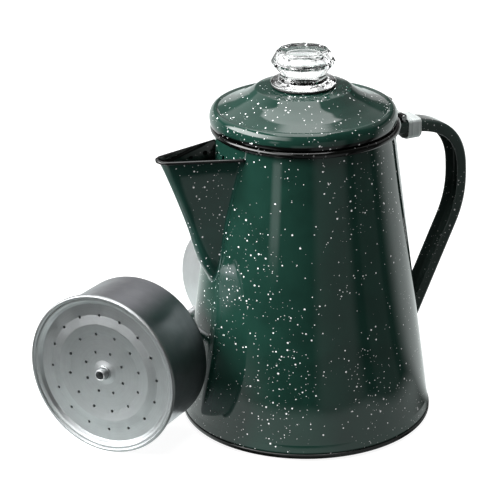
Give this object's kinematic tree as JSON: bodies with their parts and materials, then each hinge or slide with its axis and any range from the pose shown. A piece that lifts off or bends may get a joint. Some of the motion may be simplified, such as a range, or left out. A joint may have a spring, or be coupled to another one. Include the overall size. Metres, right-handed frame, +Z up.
{
  "type": "coffee percolator",
  "caption": "Tapered enamelled camping percolator with a hinged lid, glass top, beak spout and strap handle, its pump, basket and spreader laid beside it.",
  "frame": {"origin": "centre of the base pan's flat underside, on the table", "axes": "+Z up the pot's axis, +X towards the handle and the lid's hinge, -X towards the spout, +Y away from the pump's open end"},
  "size_m": [0.2556, 0.2012, 0.2156],
  "materials": {
    "green_enamel": "gloss enamel with white speckles",
    "spout_enamel": "gloss enamel with white speckles, black inside",
    "handle_enamel": "gloss enamel with sparse white speckles",
    "lid_enamel": "gloss enamel with white speckles and a black edge",
    "black_enamel": "gloss",
    "stainless": "brushed",
    "clear_glass": "clear, faceted",
    "silicone": "matt",
    "satin_aluminium": "satin",
    "bright_aluminium": "smooth drawn"
  },
  "bodies": {
    "pot": {"pot_body": "green_enamel", "base_pan": "black_enamel", "spout": "spout_enamel", "handle": "handle_enamel", "hinge_band": "stainless", "hinge_pin": "stainless"},
    "lid": {"lid_shell": "lid_enamel", "lid_skirt": "black_enamel", "lid_tongue": "black_enamel", "knob_gasket": "silicone"},
    "knob": {"glass_knob": "clear_glass"},
    "pump": {"pump_tube": "satin_aluminium", "pump_foot": "satin_aluminium", "basket_stop": "satin_aluminium"},
    "basket": {"basket_cup": "bright_aluminium", "basket_sleeve": "satin_aluminium"},
    "spreader": {"spreader_plate": "satin_aluminium"}
  },
  "joints": [
    {"name": "lid_hinge", "type": "hinge", "parent": "pot", "child": "lid", "pos_m": [0.0593, 0, 0.1688], "axis": [0, 1, 0], "range_deg": [0, 100]},
    {"name": "knob_twist", "type": "hinge", "parent": "lid", "child": "knob", "pos_m": [-0.0013, 0, 0.1968], "axis": [0, 0, 1], "range_deg": [0, 90]},
    {"name": "pump_set_aside", "type": "slide", "parent": "pot", "child": "pump", "axis": [-0.5807, 0.8141, 0], "range_m": [0, 0.08]},
    {"name": "basket_slide", "type": "slide", "parent": "pump", "child": "basket", "axis": [-0.8137, -0.5804, 0.0312], "range_m": [0, 0.06]},
    {"name": "spreader_lift", "type": "slide", "parent": "basket", "child": "spreader", "axis": [-0.8137, -0.5804, 0.0312], "range_m": [0, 0.025]}
  ]
}
